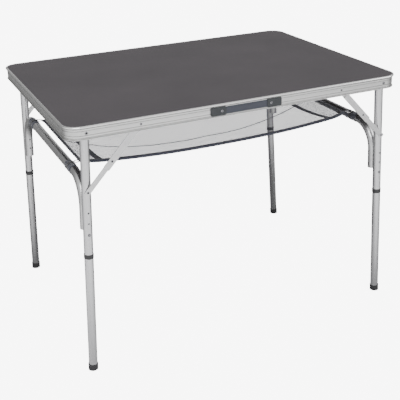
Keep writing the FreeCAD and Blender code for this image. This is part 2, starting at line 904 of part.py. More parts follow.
def build_upper_stay(side, face, tag):
    """The wider link, bent outwards at its upper end where it is riveted to the rail."""
    body = doc.addObject("PartDesign::Body", "UpperStayBody")
    strip = new_sketch(body, "XY_Plane", "StayEdge")
    thick, step = cell("stay_thickness"), cell("joggle_depth")
    start, length = cell("joggle_start"), cell("joggle_length")
    end = upper_stay + cell("stay_overlap")
    draw_outline(
        strip,
        [
            (-cell("stay_end"), 0),
            (start, 0),
            (start + length, step),
            (end, step),
            (end, step + thick),
            (start + length, step + thick),
            (start, thick),
            (-cell("stay_end"), thick),
        ],
    )
    plate = pad(body, strip, cell("stay_width"))
    finish_stay(body, plate, [0, upper_stay], cell("stay_width"))
    place = stay_place(side, face, side * stay_across.value, pivot_height.value, tab_outer.value)
    finish(body, f"upper_stay_{tag}", place)

    knee = rivet(
        cell("rivet_head_radius"),
        cell("rivet_head_height"),
        cell("rivet_radius") - cell("push_fit"),
        thick,
        None,
        None,
    )
    at = Placement(
        Vector(upper_stay.value, step.value, 0),
        Rotation(Vector(0, 0, 1), Vector(0, -1, 0)),
    )
    finish(knee, f"knee_rivet_{tag}", place.multiply(at))


def build_lower_stay(side, face, tag):
    """The narrower link, from the knee down to the leg."""
    body = doc.addObject("PartDesign::Body", "LowerStayBody")
    strip = new_sketch(body, "XY_Plane", "StayEdge")
    end, thick = cell("stay_end"), cell("stay_thickness")
    long = lower_stay + end
    draw_outline(strip, [(-end, 0), (long, 0), (long, thick), (-end, thick)])
    plate = pad(body, strip, cell("lower_stay_width"))
    finish_stay(body, plate, [0, lower_stay], cell("lower_stay_width"))
    knee_x = stay_across.value + upper_stay.value * math.cos(math.radians(stay_angle))
    knee_z = pivot_height.value - upper_stay.value * math.sin(math.radians(stay_angle))
    place = stay_place(side, face, side * knee_x, knee_z, lower_outer.value)
    finish(body, f"lower_stay_{tag}", place)


def finish_stay(body, plate, pivots, width):
    """Rounded ends and the two pivot holes."""
    round_edges(body, plate, cell("stay_corner"), Vector(0, 1, 0))
    holes = new_sketch(body, "XZ_Plane", "PivotHoles")
    for pivot in pivots:
        draw_circle(holes, cell("rivet_radius") + pin_gap, pivot, 0)
    pocket(body, holes, THROUGH)


for name, side in SIDES.items():
    for view, face in FACES.items():
        build_upper_stay(side, face, f"{view}_{name}")
        build_lower_stay(side, face, f"{view}_{name}")


# ---------------------------------------------------------------- the mesh shelf


def build_shelf():
    """A sagging sheet between the two braces, as the lower part of a wide thin tube along X."""
    bend_start = brace_reach - cell("brace_bend")
    sleeve_middle = bend_start - cell("sleeve_space") - cell("sleeve_length") / 2
    half = sleeve_middle + cell("net_past_sleeve")
    sag, thick = cell("net_sag"), cell("net_thickness")
    radius = (half * half + sag * sag) / (sag * 2)
    brace_across = pivot_across + cell("brace_drop") * SIN
    sleeve = cell("brace_radius") + cell("sleeve_gap") + cell("sleeve_wall")
    reach = brace_across - sleeve - side_gap
    edge = pivot_height - cell("brace_drop") * COS
    centre = (edge + radius - sag).value
    end, past = reach.value, (reach + OVER).value
    outer = cylinder(radius, reach * 2, Vector(-end, 0, centre), Vector(1, 0, 0))
    inner = cylinder(radius - thick, (reach + OVER) * 2, Vector(-past, 0, centre), Vector(1, 0, 0))
    corner = Vector(-past, -half.value, (edge - sag - thick).value)
    room = block((reach + OVER) * 2, half * 2, sag + thick, corner)
    finish(common(cut(outer, [inner]), room), "mesh_shelf")
    for name, side in SIDES.items():
        pieces = []
        for face in FACES.values():
            start = face * sleeve_middle - cell("sleeve_length") / 2
            base = Vector(0, start.value, -cell("brace_drop").value)
            band = tube(
                sleeve, cell("sleeve_wall"), cell("sleeve_length"), base, Vector(0, 1, 0)
            )
            band.Placement = leg_frame(side)
            pieces.append(band)
        finish(group(pieces), f"shelf_sleeves_{name}")


build_shelf()


# ---------------------------------------------------------------- the handle


def build_handle():
    depth = cell("face_inset")
    half = cell("handle_length") / 2
    strap_half = half - cell("cap_length") + cell("strap_inside")
    rivet_x = cell("handle_rivet_spread") / 2
    room = cell("strap_height") / 2 + cell("strap_clearance")
    for name, side in SIDES.items():
        body = doc.addObject("PartDesign::Body", "CapBody")
        outline = new_sketch(body, "XZ_Plane", "CapOutline")
        tall = cell("cap_height") / 2
        first, last = half - cell("cap_length"), half
        ends = (first, last) if side > 0 else (-last, -first)
        draw_outline(outline, [(ends[0], -tall), (ends[1], -tall), (ends[1], tall), (ends[0], tall)])
        shell = pad(body, outline, depth, midplane=False)
        round_edges(body, shell, cell("cap_corner"), Vector(0, 1, 0))
        slot = new_sketch(body, "XZ_Plane", "StrapSlot")
        deep, open_end = strap_half + OVER, first - OVER
        mouth = (open_end, deep) if side > 0 else (-deep, -open_end)
        draw_outline(slot, [(mouth[0], -room), (mouth[1], -room), (mouth[1], room), (mouth[0], room)])
        pocket(body, slot, (cell("strap_thickness") + cell("strap_clearance")) * 2)
        hole = new_sketch(body, "XZ_Plane", "RivetHole")
        draw_circle(hole, cell("rivet_radius"), rivet_x * side, 0)
        pocket(body, hole, THROUGH)
        finish(body, f"handle_cap_{name}", Placement(handle_base, Rotation()))

    body = doc.addObject("PartDesign::Body", "StrapBody")
    outline = new_sketch(body, "XZ_Plane", "StrapOutline")
    tall = cell("strap_height") / 2
    draw_outline(
        outline, [(-strap_half, -tall), (strap_half, -tall), (strap_half, tall), (-strap_half, tall)]
    )
    band = pad(body, outline, cell("strap_thickness"), midplane=False)
    round_edges(body, band, cell("strap_corner"), Vector(0, 1, 0))
    holes = new_sketch(body, "XZ_Plane", "RivetHoles")
    for side in SIDES.values():
        draw_circle(holes, cell("rivet_radius"), rivet_x * side, 0)
    pocket(body, holes, THROUGH)
    finish(body, "handle_strap", Placement(handle_base, Rotation()))

    pieces = []
    for side in SIDES.values():
        piece = rivet(
            cell("rivet_head_radius"),
            cell("handle_rivet_head_height"),
            cell("rivet_radius"),
            depth + cell("rail_wall"),
            cell("rivet_head_radius"),
            cell("rivet_tail_height"),
        )
        base = handle_base + Vector(side * rivet_x.value, -depth.value, 0)
        piece.Placement = Placement(base, Rotation(Vector(0, 0, 1), Vector(0, -1, 0)))
        pieces.append(piece)
    finish(group(pieces), "handle_rivets")


handle_base = Vector(0, -rail_face.value, handle_level.value)
build_handle()


# ---------------------------------------------------------------- check and export

doc.recompute()
for thing in doc.Objects:
    if "Invalid" in thing.State or "Error" in thing.State:
        raise RuntimeError(f"{thing.Label} did not build: {thing.State}")
os.makedirs("parts", exist_ok=True)
for thing in NODES:
    shape = thing.Shape
    if shape.isNull() or not shape.isValid() or shape.Volume < 0.1:
        raise RuntimeError(f"{thing.Label} has no valid shape")
    shape.exportStep(f"parts/{thing.Label}.step")
    print(f"{thing.Label}: {len(shape.Solids)} solids, {shape.Volume / 1000:.2f} cm3")
print(f"{len(NODES)} nodes, stay angle {stay_angle:.3f}, "
      f"stays {upper_stay.value:.3f} and {lower_stay.value:.3f}")
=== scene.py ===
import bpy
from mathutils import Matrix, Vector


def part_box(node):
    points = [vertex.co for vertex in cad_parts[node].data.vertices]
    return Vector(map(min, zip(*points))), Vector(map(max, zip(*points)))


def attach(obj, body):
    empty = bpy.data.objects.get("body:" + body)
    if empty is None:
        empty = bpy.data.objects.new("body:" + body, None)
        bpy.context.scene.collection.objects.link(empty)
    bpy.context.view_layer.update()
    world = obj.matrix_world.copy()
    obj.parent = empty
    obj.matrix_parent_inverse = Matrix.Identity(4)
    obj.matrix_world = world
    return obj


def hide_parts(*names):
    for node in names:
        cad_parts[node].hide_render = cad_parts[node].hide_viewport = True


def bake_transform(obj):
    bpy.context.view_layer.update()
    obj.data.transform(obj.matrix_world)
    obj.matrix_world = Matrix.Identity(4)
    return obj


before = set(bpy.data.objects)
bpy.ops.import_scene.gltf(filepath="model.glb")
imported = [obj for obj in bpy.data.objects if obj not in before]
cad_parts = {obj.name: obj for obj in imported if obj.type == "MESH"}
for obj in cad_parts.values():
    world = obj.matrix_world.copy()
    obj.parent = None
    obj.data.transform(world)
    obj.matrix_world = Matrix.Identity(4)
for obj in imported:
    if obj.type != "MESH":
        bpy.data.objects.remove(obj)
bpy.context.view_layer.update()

import math

import bmesh
import bpy
from mathutils import Matrix, Vector, noise

# ---------------------------------------------------------------- the board
# The top is a 3.5 mm hardboard with a dark warm-grey laminate pressed on it, rounded at its corners
# to slide into the rail's groove. The laminate has a fine pebbled skin and takes small scuffs.


def srgb(red, green, blue):
    """A colour in Blender's linear values from the usual 0 to 255 numbers."""
    linear = []
    for part in (red / 255, green / 255, blue / 255):
        linear.append(part / 12.92 if part <= 0.04045 else ((part + 0.055) / 1.055) ** 2.4)
    return (*linear, 1.0)


def put(tree, kind, **values):
    """A node in tree: a value named as an input sets that input, and any other sets a property."""
    node = tree.nodes.new(kind)
    for key, value in values.items():
        label = key.replace("_", " ").title()
        if label not in node.inputs:
            setattr(node, key, value)
        elif isinstance(value, bpy.types.NodeSocket):
            tree.links.new(value, node.inputs[label])
        else:
            node.inputs[label].default_value = value
    return node


def maths(tree, operation, *terms):
    """One step of arithmetic on numbers or sockets, as the socket it comes out of."""
    node = tree.nodes.new("ShaderNodeMath")
    node.operation = operation
    for socket, term in zip(node.inputs, terms):
        if isinstance(term, bpy.types.NodeSocket):
            tree.links.new(term, socket)
        else:
            socket.default_value = term
    return node.outputs[0]


def new_group(name, inputs, outputs):
    """An empty shader node group with its sockets, and its input and output nodes."""
    tree = bpy.data.node_groups.new(name, "ShaderNodeTree")
    for label, kind, value in inputs:
        socket = tree.interface.new_socket(label, in_out="INPUT", socket_type=kind)
        if value is not None:
            socket.default_value = value
    for label in outputs:
        tree.interface.new_socket(label, in_out="OUTPUT", socket_type="NodeSocketFloat")
    return tree, tree.nodes.new("NodeGroupInput").outputs, tree.nodes.new("NodeGroupOutput").inputs


# Grain: a broad mottling for colour and roughness, and a fine noise for the surface's relief.
# Stretch pulls the noise out along an axis, for drawn tubes and extrusions.
grain, given, made = new_group(
    "grain",
    [
        ("Stretch", "NodeSocketVector", (1, 1, 1)),
        ("Fine", "NodeSocketFloat", 900.0),
        ("Broad", "NodeSocketFloat", 12.0),
    ],
    ["Relief", "Mottle"],
)
place = put(grain, "ShaderNodeTexCoord").outputs["Object"]
pulled = put(grain, "ShaderNodeVectorMath", operation="MULTIPLY")
grain.links.new(place, pulled.inputs[0])
grain.links.new(given["Stretch"], pulled.inputs[1])
fine = put(grain, "ShaderNodeTexNoise", vector=pulled.outputs[0], scale=given["Fine"], detail=3.0)
broad = put(grain, "ShaderNodeTexNoise", vector=pulled.outputs[0], scale=given["Broad"], detail=5.0)
grain.links.new(fine.outputs[0], made["Relief"])
grain.links.new(broad.outputs[0], made["Mottle"])


def new_material(name):
    """A new material, its node tree and its Principled shader."""
    material = bpy.data.materials.new(name)
    material.use_nodes = True
    tree = material.node_tree
    return material, tree, tree.nodes["Principled BSDF"]


def place_group(tree, group, **values):
    """A shader group in a material, with the material's own values."""
    node = tree.nodes.new("ShaderNodeGroup")
    node.node_tree = group
    for key, value in values.items():
        node.inputs[key.title()].default_value = value
    return node


def tint(tree, skin, share, dark, colour):
    """The shader's colour, which goes from dark to colour with share."""
    tone = put(tree, "ShaderNodeMix", data_type="RGBA")
    tree.links.new(share, tone.inputs["Factor"])
    tone.inputs[6].default_value, tone.inputs[7].default_value = dark, colour
    tree.links.new(tone.outputs[2], skin.inputs["Base Color"])


def emboss(tree, skin, height, distance, strength=1.0):
    """A bump on the shader's normal."""
    bump = put(tree, "ShaderNodeBump", height=height, distance=distance, strength=strength)
    tree.links.new(bump.outputs[0], skin.inputs["Normal"])


def finish(name, colour, dark, roughness, stretch=(1, 1, 1), fine=900.0, broad=12.0,
           relief=0.00002, spread=0.12, **shader):
    """A material whose colour and roughness drift between two values with the grain's mottling."""
    material, tree, skin = new_material(name)
    for key, value in shader.items():
        skin.inputs[key.replace("_", " ").title()].default_value = value
    group = place_group(tree, grain, stretch=stretch, fine=fine, broad=broad)
    tint(tree, skin, group.outputs["Mottle"], dark, colour)
    rough = put(tree, "ShaderNodeMapRange", value=group.outputs["Mottle"],
                to_min=roughness + spread, to_max=roughness - spread)
    tree.links.new(rough.outputs[0], skin.inputs["Roughness"])
    emboss(tree, skin, group.outputs["Relief"], relief)
    return material


def paint(material, *nodes):
    """Give CAD nodes a material."""
    for node in nodes:
        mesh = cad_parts[node].data
        mesh.materials.clear()
        mesh.materials.append(material)


laminate = finish("board laminate", srgb(80, 76, 79), srgb(70, 67, 70), 0.5,
                  fine=1400.0, broad=4.0, relief=0.00006, spread=0.06)
laminate.node_tree.nodes["Principled BSDF"].inputs["Specular IOR Level"].default_value = 0.16
paint(laminate, "tabletop_panel")

# ---------------------------------------------------------------- the rail
# One aluminium extrusion, satin anodised, is bent round the board with its ends meeting at the
# middle of the back, where a strip is riveted across the joint. The die leaves fine level lines.

rail_silver = finish("rail aluminium", srgb(228, 228, 227), srgb(204, 204, 204), 0.3,
                     stretch=(0.02, 0.02, 1.0), fine=1800.0, broad=260.0, relief=0.00006,
                     spread=0.07, metallic=1.0)
paint(rail_silver, "rail_splice")
# The bead is polished, with a lower roughness, and its colour is also painted brighter as a painted
# highlight along it.
bead_painted_highlight = finish("rail bead painted highlight", srgb(250, 250, 249), srgb(236, 236, 236), 0.18,
                     stretch=(0.02, 0.02, 1.0), fine=1800.0, broad=260.0, relief=0.00003,
                     spread=0.05, metallic=1.0)
# The faces down in the die's lines are painted darker, as painted shade in the grooves.
groove_painted_shade = finish("rail groove painted shade", srgb(160, 160, 158), srgb(134, 134, 132), 0.5,
                   stretch=(0.02, 0.02, 1.0), fine=1800.0, broad=260.0, relief=0.00006,
                   spread=0.07, metallic=0.7)

low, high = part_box("frame_rail")
rail_bend = 0.045  # the radius of the table's corners
rail_corner_steps = 16
rail_top = high.z
rail_deep = high.z - low.z
rail_seam = 0.0003  # the gap where the bent rail's ends meet
# the section, from the board's edge over the bead and down the outer face: inwards from the outer
# edge, and down from the top
section = [(0.0058, 0.0008), (0.0057, 0.0003), (0.0052, 0.0), (0.003, 0.0), (0.0018, 0.0003),
           (0.0009, 0.0009), (0.0003, 0.0018), (0.0, 0.003), (0.0003, 0.0042), (0.0012, 0.0053),
           (0.0028, 0.0059), (0.0050, 0.0061)]
face_inset, line_inset, band_crown = 0.0040, 0.0051, 0.00015
line_past = 0.0049  # any part of the outer face further in than this is in a line
line_first, line_last = 0.006, 0.0336  # the lines lie between these depths
bead_deep = 0.0055  # the bead lies above this depth
for start, stop in ((0.0075, 0.0119), (0.0131, 0.0239), (0.0251, 0.0299), (0.0311, 0.0332)):
    section.append((line_inset, start - 0.0003))
    for share in (0.0, 0.12, 0.5, 0.88, 1.0):
        bulge = band_crown * (1.0 - (2.0 * share - 1.0) ** 2)
        section.append((face_inset - bulge, start + (stop - start) * share))
    section.append((line_inset, stop + 0.0003))
section += [(0.0022, 0.0337), (0.0020, 0.0342), (0.0020, rail_deep - 0.0003), (0.0024, rail_deep),
            (0.0052, rail_deep), (0.0055, rail_deep - 0.0004), (0.0055, 0.0056), (0.0155, 0.0056),
            (0.0155, 0.0043)]


def rail_line():
    """Places round the table's outer edge with the way outwards, from the seam and back to it."""
    line = [((rail_seam / 2, high.y), (0.0, 1.0))]
    turns = ((1, 1), (1, -1), (-1, -1), (-1, 1))
    for number, (sx, sy) in enumerate(turns):
        middle = (sx * (high.x - rail_bend), sy * (high.y - rail_bend))
        start = math.pi / 2 - number * math.pi / 2
        for step in range(rail_corner_steps + 1):
            angle = start - math.pi / 2 * step / rail_corner_steps
            way = (math.cos(angle), math.sin(angle))
            line.append(((middle[0] + way[0] * rail_bend, middle[1] + way[1] * rail_bend), way))
    line.append(((-rail_seam / 2, high.y), (0.0, 1.0)))
    return line


def band(one, two):
    """The corners of each patch between two rings of points."""
    count = len(one)
    return [[one[n], one[(n + 1) % count], two[(n + 1) % count], two[n]] for n in range(count)]


def stand(name, data, *materials):
    """A new object at the origin, with its mesh in those materials."""
    for material in materials:
        data.materials.append(material)
    made = bpy.data.objects.new(name, data)
    bpy.context.collection.objects.link(made)
    return made


def take_over(piece, node, body):
    """Put a finished piece in a CAD node's place, on a body."""
    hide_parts(node)
    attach(piece, body)


work = bmesh.new()
rings = []
for (x, y), (nx, ny) in rail_line():
    rings.append([work.verts.new((x - nx * inset, y - ny * inset, rail_top - down))
                  for inset, down in section])
for one, two in zip(rings, rings[1:]):
    for patch, (inset, down) in zip(band(one, two), section):
        wall = work.faces.new(patch)
        wall.smooth = True
        # faces down in the lines take the painted groove shade, and faces of the bead its painted
        # highlight
        if inset > line_past and line_first < down < line_last:
            wall.material_index = 1
        elif down < bead_deep:
            wall.material_index = 2
work.faces.new(rings[0])
work.faces.new(rings[-1][::-1])
bmesh.ops.recalc_face_normals(work, faces=work.faces)
mesh = bpy.data.meshes.new("rail")
work.to_mesh(mesh)
work.free()
mesh.set_sharp_from_angle(angle=math.radians(50))
rail = stand("looks_rail", mesh, rail_silver, groove_painted_shade, bead_painted_highlight)
take_over(rail, "frame_rail", "tabletop")


def solids_of(node):
    """The corners of the box round each separate solid of a CAD node."""
    work = bmesh.new()
    work.from_mesh(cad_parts[node].data)
    bmesh.ops.remove_doubles(work, verts=work.verts, dist=1e-6)
    boxes, waiting = [], set(work.verts)
    while waiting:
        reach, group = [waiting.pop()], []
        while reach:
            point = reach.pop()
            group.append(point.co.copy())
            for edge in point.link_edges:
                other = edge.other_vert(point)
                if other in waiting:
                    waiting.remove(other)
                    reach.append(other)
        low = Vector(tuple(min(p[i] for p in group) for i in range(3)))
        high = Vector(tuple(max(p[i] for p in group) for i in range(3)))
        boxes.append((low, high))
    work.free()
    return boxes


def new_planting(name, inputs):
    """An empty geometry tree, its input node's sockets, and the identifier of each input."""
    tree = bpy.data.node_groups.new(name, "GeometryNodeTree")
    tree.interface.new_socket("Geometry", in_out="INPUT", socket_type="NodeSocketGeometry")
    sizes = {}
    for label, kind, size in inputs:
        socket = tree.interface.new_socket(label, in_out="INPUT", socket_type=kind)
        if size is not None:
            socket.default_value = size
        sizes[label] = socket.identifier
    tree.interface.new_socket("Geometry", in_out="OUTPUT", socket_type="NodeSocketGeometry")
    return tree, tree.nodes.new("NodeGroupInput").outputs, sizes


# Blind rivets: a low dome with the snapped mandrel in its dimple, a shank, and a set tail. The
# mandrel is painted near black, as painted shade in the dimple.
rivet_tree, given, rivet_sizes = new_planting(
    "blind rivets",
    [
        ("Head Radius", "NodeSocketFloat", 0.0035),
        ("Head Height", "NodeSocketFloat", 0.0013),
        ("Shank Radius", "NodeSocketFloat", 0.002),
        ("Dimple Radius", "NodeSocketFloat", 0.0014),
        ("Grip", "NodeSocketFloat", 0.003),
        ("Tail Height", "NodeSocketFloat", 0.001),
        ("Finish", "NodeSocketMaterial", None),
        ("Core Painted Shade", "NodeSocketMaterial", None),
    ],
)


def triple(tree, x, y, z):
    """A vector from three numbers or sockets."""
    node = tree.nodes.new("ShaderNodeCombineXYZ")
    for socket, term in zip(node.inputs, (x, y, z)):
        if isinstance(term, bpy.types.NodeSocket):
            tree.links.new(term, socket)
        else:
            socket.default_value = term
    return node.outputs[0]


def ball(tree, radius, flat, height):
    """A ball of that radius, flattened to flat times its height and raised to height."""
    sphere = put(tree, "GeometryNodeMeshUVSphere", segments=20, rings=10, radius=radius)
    return put(tree, "GeometryNodeTransform", geometry=sphere.outputs[0],
               translation=triple(tree, 0.0, 0.0, height),
               scale=triple(tree, 1.0, 1.0, flat)).outputs[0]


def rod(tree, radius, long, height):
    """A closed rod about Z with its middle at height."""
    stick = put(tree, "GeometryNodeMeshCylinder", vertices=20, radius=radius, depth=long)
    return put(tree, "GeometryNodeTransform", geometry=stick.outputs[0],
               translation=triple(tree, 0.0, 0.0, height)).outputs[0]


squash = maths(rivet_tree, "DIVIDE", given["Head Height"], given["Head Radius"])
dome = ball(rivet_tree, given["Head Radius"], squash, 0.0)
dimple = ball(rivet_tree, given["Dimple Radius"], 1.0, given["Head Height"])
cupped = put(rivet_tree, "GeometryNodeMeshBoolean", operation="DIFFERENCE")
rivet_tree.links.new(dome, cupped.inputs[0])
rivet_tree.links.new(dimple, cupped.inputs[1])
core = ball(rivet_tree, maths(rivet_tree, "MULTIPLY", given["Dimple Radius"], 0.96), 0.6,
            maths(rivet_tree, "SUBTRACT", given["Head Height"], given["Dimple Radius"]))
half_grip = maths(rivet_tree, "MULTIPLY", given["Grip"], -0.5)
shank = rod(rivet_tree, given["Shank Radius"], given["Grip"], half_grip)
half_tail = maths(rivet_tree, "MULTIPLY", given["Tail Height"], 0.5)
drop = maths(rivet_tree, "ADD", given["Grip"], half_tail)
tail = rod(rivet_tree, maths(rivet_tree, "MULTIPLY", given["Head Radius"], 0.95),
           given["Tail Height"], maths(rivet_tree, "MULTIPLY", drop, -1.0))
plain = rivet_tree.nodes.new("GeometryNodeJoinGeometry")
for piece in (tail, shank, cupped.outputs[0]):
    rivet_tree.links.new(piece, plain.inputs[0])


def planted(tree, points, shape, axis, material):
    """A copy of shape on each point, its axis turned to the point's aim, in one material."""
    aim = put(tree, "GeometryNodeInputNamedAttribute", data_type="FLOAT_VECTOR")
    aim.inputs["Name"].default_value = "aim"
    turn = put(tree, "FunctionNodeAlignRotationToVector", axis=axis, vector=aim.outputs[0])
    spots = put(tree, "GeometryNodeInstanceOnPoints", points=points, instance=shape,
                rotation=turn.outputs[0])
    real = put(tree, "GeometryNodeRealizeInstances", geometry=spots.outputs[0])
    smooth = put(tree, "GeometryNodeSetShadeSmooth", geometry=real.outputs[0])
    return put(tree, "GeometryNodeSetMaterial", geometry=smooth.outputs[0],
               material=material).outputs[0]


both = rivet_tree.nodes.new("GeometryNodeJoinGeometry")
for shape, skin in ((plain.outputs[0], given["Finish"]), (core, given["Core Painted Shade"])):
    rivet_tree.links.new(planted(rivet_tree, given["Geometry"], shape, "Z", skin), both.inputs[0])
rivet_tree.links.new(both.outputs[0], rivet_tree.nodes.new("NodeGroupOutput").inputs[0])


def grow(name, source, tree, sizes, values):
    """Run a geometry tree on a mesh, and keep the result as a plain mesh object at the origin."""
    holder = stand("holder", source)
    modifier = holder.modifiers.new("tree", "NODES")
    modifier.node_group = tree
    for label, value in values.items():
        modifier[sizes[label]] = value
    ready = holder.evaluated_get(bpy.context.evaluated_depsgraph_get())
    mesh = bpy.data.meshes.new_from_object(ready)
    bpy.data.objects.remove(holder)
    return stand(name, mesh)


def aimed_points(name, points, aims):
    """Loose points for copies to be planted on, each with the way its copy faces."""
    mesh = bpy.data.meshes.new(name + "_places")
    mesh.from_pydata(points, [], [])
    mesh.attributes.new("aim", "FLOAT_VECTOR", "POINT")
    for spot, direction in zip(mesh.attributes["aim"].data, aims):
        spot.vector = direction
    return mesh


dimple_share, shank_share, shank_most = 0.52, 0.6, 0.003  # shares of the head's radius, and a limit


def rivets(node, body, material, head, dome_height, tail_height):
    """Blind rivets in the places of a CAD node's plain ones, heads outwards along Y."""
    points, aims = [], []
    for low, high in solids_of(node):
        face = 1 if low.y + high.y > 0 else -1
        outer = high.y if face > 0 else low.y
        middle = (low + high) / 2
        points.append((middle.x, outer - face * dome_height, middle.z))
        aims.append((0.0, float(face), 0.0))
        long = high.y - low.y
    made = grow("looks_" + node, aimed_points(node, points, aims), rivet_tree, rivet_sizes, {
        "Head Radius": head,
        "Head Height": dome_height,
        "Dimple Radius": head * dimple_share,
        "Shank Radius": min(head * shank_share, shank_most),
        "Grip": long - dome_height - tail_height,
        "Tail Height": tail_height,
        "Finish": material,
        "Core Painted Shade": mandrel_painted_shade,
    })
    take_over(made, node, body)


rivet_silver = finish("rivet steel", srgb(150, 150, 154), srgb(122, 122, 126), 0.14,
                      fine=2500.0, broad=300.0, relief=0.00001, spread=0.05, metallic=1.0)
# the mandrel is painted near black, as the painted shade of the rivet's dimple
mandrel_painted_shade = finish("mandrel painted shade", srgb(30, 30, 32), srgb(18, 18, 20), 0.5,
                    fine=2500.0, broad=300.0, relief=0.00001, spread=0.06)
rivets("splice_rivets", "tabletop", rivet_silver, 0.0035, 0.0013, 0.001)

# ---------------------------------------------------------------- the leg pivots
# A steel bolt goes through the rail, a grey nylon spacer and the top of each leg. A blind rivet
# further along the rail is what each stay swings on.

nylon = finish("spacer nylon", srgb(150, 150, 152), srgb(130, 130, 134), 0.5, relief=0.00003)
paint(nylon, "leg_pivot_spacers")
rivets("leg_pivot_bolts", "tabletop", rivet_silver, 0.0045, 0.002, 0.002)
rivets("stay_rail_rivets", "tabletop", rivet_silver, 0.0035, 0.0013, 0.001)

# ---------------------------------------------------------------- the end frames
# Each end has two drawn aluminium tubes with dark plastic plugs in their tops, joined by one bent
# tube that is riveted to their inner sides. The tubes are satin anodised and scuff along their
# length.

tube_silver = finish("tube aluminium", srgb(224, 224, 225), srgb(196, 196, 199), 0.25,
                     stretch=(1.0, 1.0, 0.03), fine=1500.0, broad=220.0, relief=0.00003,
                     spread=0.08, metallic=1.0)
brace_silver = finish("brace aluminium", srgb(216, 216, 216), srgb(190, 190, 192), 0.27,
                      stretch=(1.0, 0.1, 0.1), fine=1500.0, broad=200.0, relief=0.00003,
                      spread=0.08, metallic=1.0)
black_plastic = finish("black plastic", srgb(48, 48, 50), srgb(38, 38, 40), 0.45, relief=0.00004)
washer_grey = finish("washer nylon", srgb(170, 170, 172), srgb(150, 150, 152), 0.5, relief=0.00003)
for end in ("left", "right"):
    body = end + "_frame"
    paint(tube_silver, "upper_leg_front_" + end, "upper_leg_back_" + end)
    paint(brace_silver, "brace_" + end)
    paint(black_plastic, "leg_plugs_" + end)
    paint(washer_grey, "stay_washers_" + end)
    rivets("brace_rivets_" + end, body, rivet_silver, 0.0028, 0.0013, 0.001)
    rivets("stay_leg_rivets_" + end, body, rivet_silver, 0.0035, 0.0013, 0.001)

# ---------------------------------------------------------------- the plug-in lower legs
# The lower tube has a spigot pushed into its top and a moulded collar between the two, and a dark
# rubber foot. A sprung steel button in the spigot clicks into the hole in the upper leg.

foot_rubber = finish("foot rubber", srgb(54, 54, 56), srgb(42, 42, 44), 0.6, relief=0.0001)
button_steel = finish("button steel", srgb(140, 140, 144), srgb(112, 112, 116), 0.14,
                      fine=2500.0, broad=400.0, relief=0.00001, spread=0.05, metallic=1.0)
corners = [view + "_" + end for end in ("left", "right") for view in ("front", "back")]
for corner in corners:
    paint(tube_silver, "lower_leg_" + corner, "spigot_" + corner)
    paint(black_plastic, "leg_collar_" + corner)
    paint(foot_rubber, "foot_cap_" + corner)
    paint(button_steel, "spring_button_" + corner)

# ---------------------------------------------------------------- the stays
# Two pressed aluminium strips make each stay, the wider one joggled where it goes behind the rail,
# with a rivet at the knee between them. Pressing leaves them bright and nearly flat in finish.

stay_silver = finish("stay aluminium", srgb(224, 224, 224), srgb(202, 202, 204), 0.34,
                     fine=1600.0, broad=90.0, relief=0.00003, spread=0.08, metallic=1.0)
# the sheared edges and their rounding are painted dark grey, as painted shade along the strips'
# edges
stay_edge_painted_shade = finish("stay edge painted shade", srgb(96, 96, 96), srgb(66, 66, 68), 0.6,
                      fine=2400.0, broad=400.0, relief=0.00008, spread=0.08, metallic=0.5)


edge_turn = 0.4  # a face whose normal has less of Y than this is a sheared edge
sheared_round = 0.0007


def strip(node):
    """A pressed strip: the CAD node's shape, with its sheared edges rougher and painted darker, as
    painted shade along its edges.
    """
    work = bmesh.new()
    work.from_mesh(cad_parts[node].data)
    bmesh.ops.remove_doubles(work, verts=work.verts, dist=1e-6)
    bmesh.ops.dissolve_degenerate(work, edges=work.edges, dist=1e-7)
    for face in work.faces:
        face.material_index = int(abs(face.normal.y) < edge_turn)
    mesh = bpy.data.meshes.new(node)
    work.to_mesh(mesh)
    work.free()
    made = stand("looks_" + node, mesh, stay_silver, stay_edge_painted_shade)
    rounded = made.modifiers.new("rounded", "BEVEL")
    rounded.width, rounded.segments, rounded.limit_method = sheared_round, 2, "ANGLE"
    rounded.material = 1
    rounded.angle_limit = math.radians(60)
    take_over(made, node, node)


for corner in corners:
    strip("upper_stay_" + corner)
    strip("lower_stay_" + corner)
    rivets("knee_rivet_" + corner, "upper_stay_" + corner, rivet_silver, 0.0035, 0.0013, 0.0002)

# ---------------------------------------------------------------- the mesh shelf
# A knitted net hangs between the two braces and sags towards its middle. Navy tape is folded over
# its edges and across it near each end, and a flat seam runs along its middle.

shelf_half = 0.205  # the middle of the net to its long edges
shelf_reach = 0.428  # to its short edges, beside the brace
end_tape = 0.368  # the tape across the net near each end
end_height = 0.574
edge_droop = 0.022  # the long edges hang this far below the ends
shelf_sag = 0.052
cloth_slack = 1.04  # the net is cut this much wider than its span, for its sag
past_tape_draw = 0.015  # how far each long edge draws in past the end tape
fold_pitch, fold_height = 9.0, 0.004  # the small folds: how many to a metre, and how deep


def shelf_width(x):
    """Half the net's width at x: it draws in a little past its end tapes."""
    past = max(0.0, abs(x) - end_tape) / (shelf_reach - end_tape)
    return shelf_half - past_tape_draw * past * past


def shelf_height(x, y):
    """The net's height: it sags both ways, and small folds run in from its corners."""
    across = min(1.0, abs(y) / shelf_width(x))
    along = abs(x) / shelf_reach
    sag = shelf_sag * (1.0 - along ** 2.6)
    edge = end_height - edge_droop * (1.0 - along ** 2.4)
    ripple = noise.noise(Vector((x * fold_pitch, y * fold_pitch, 3.0)))
    fold = ripple * fold_height * (1.0 - along ** 6)
    return edge - sag * (1.0 - across ** 2.1) + fold * (1.0 - across ** 4)


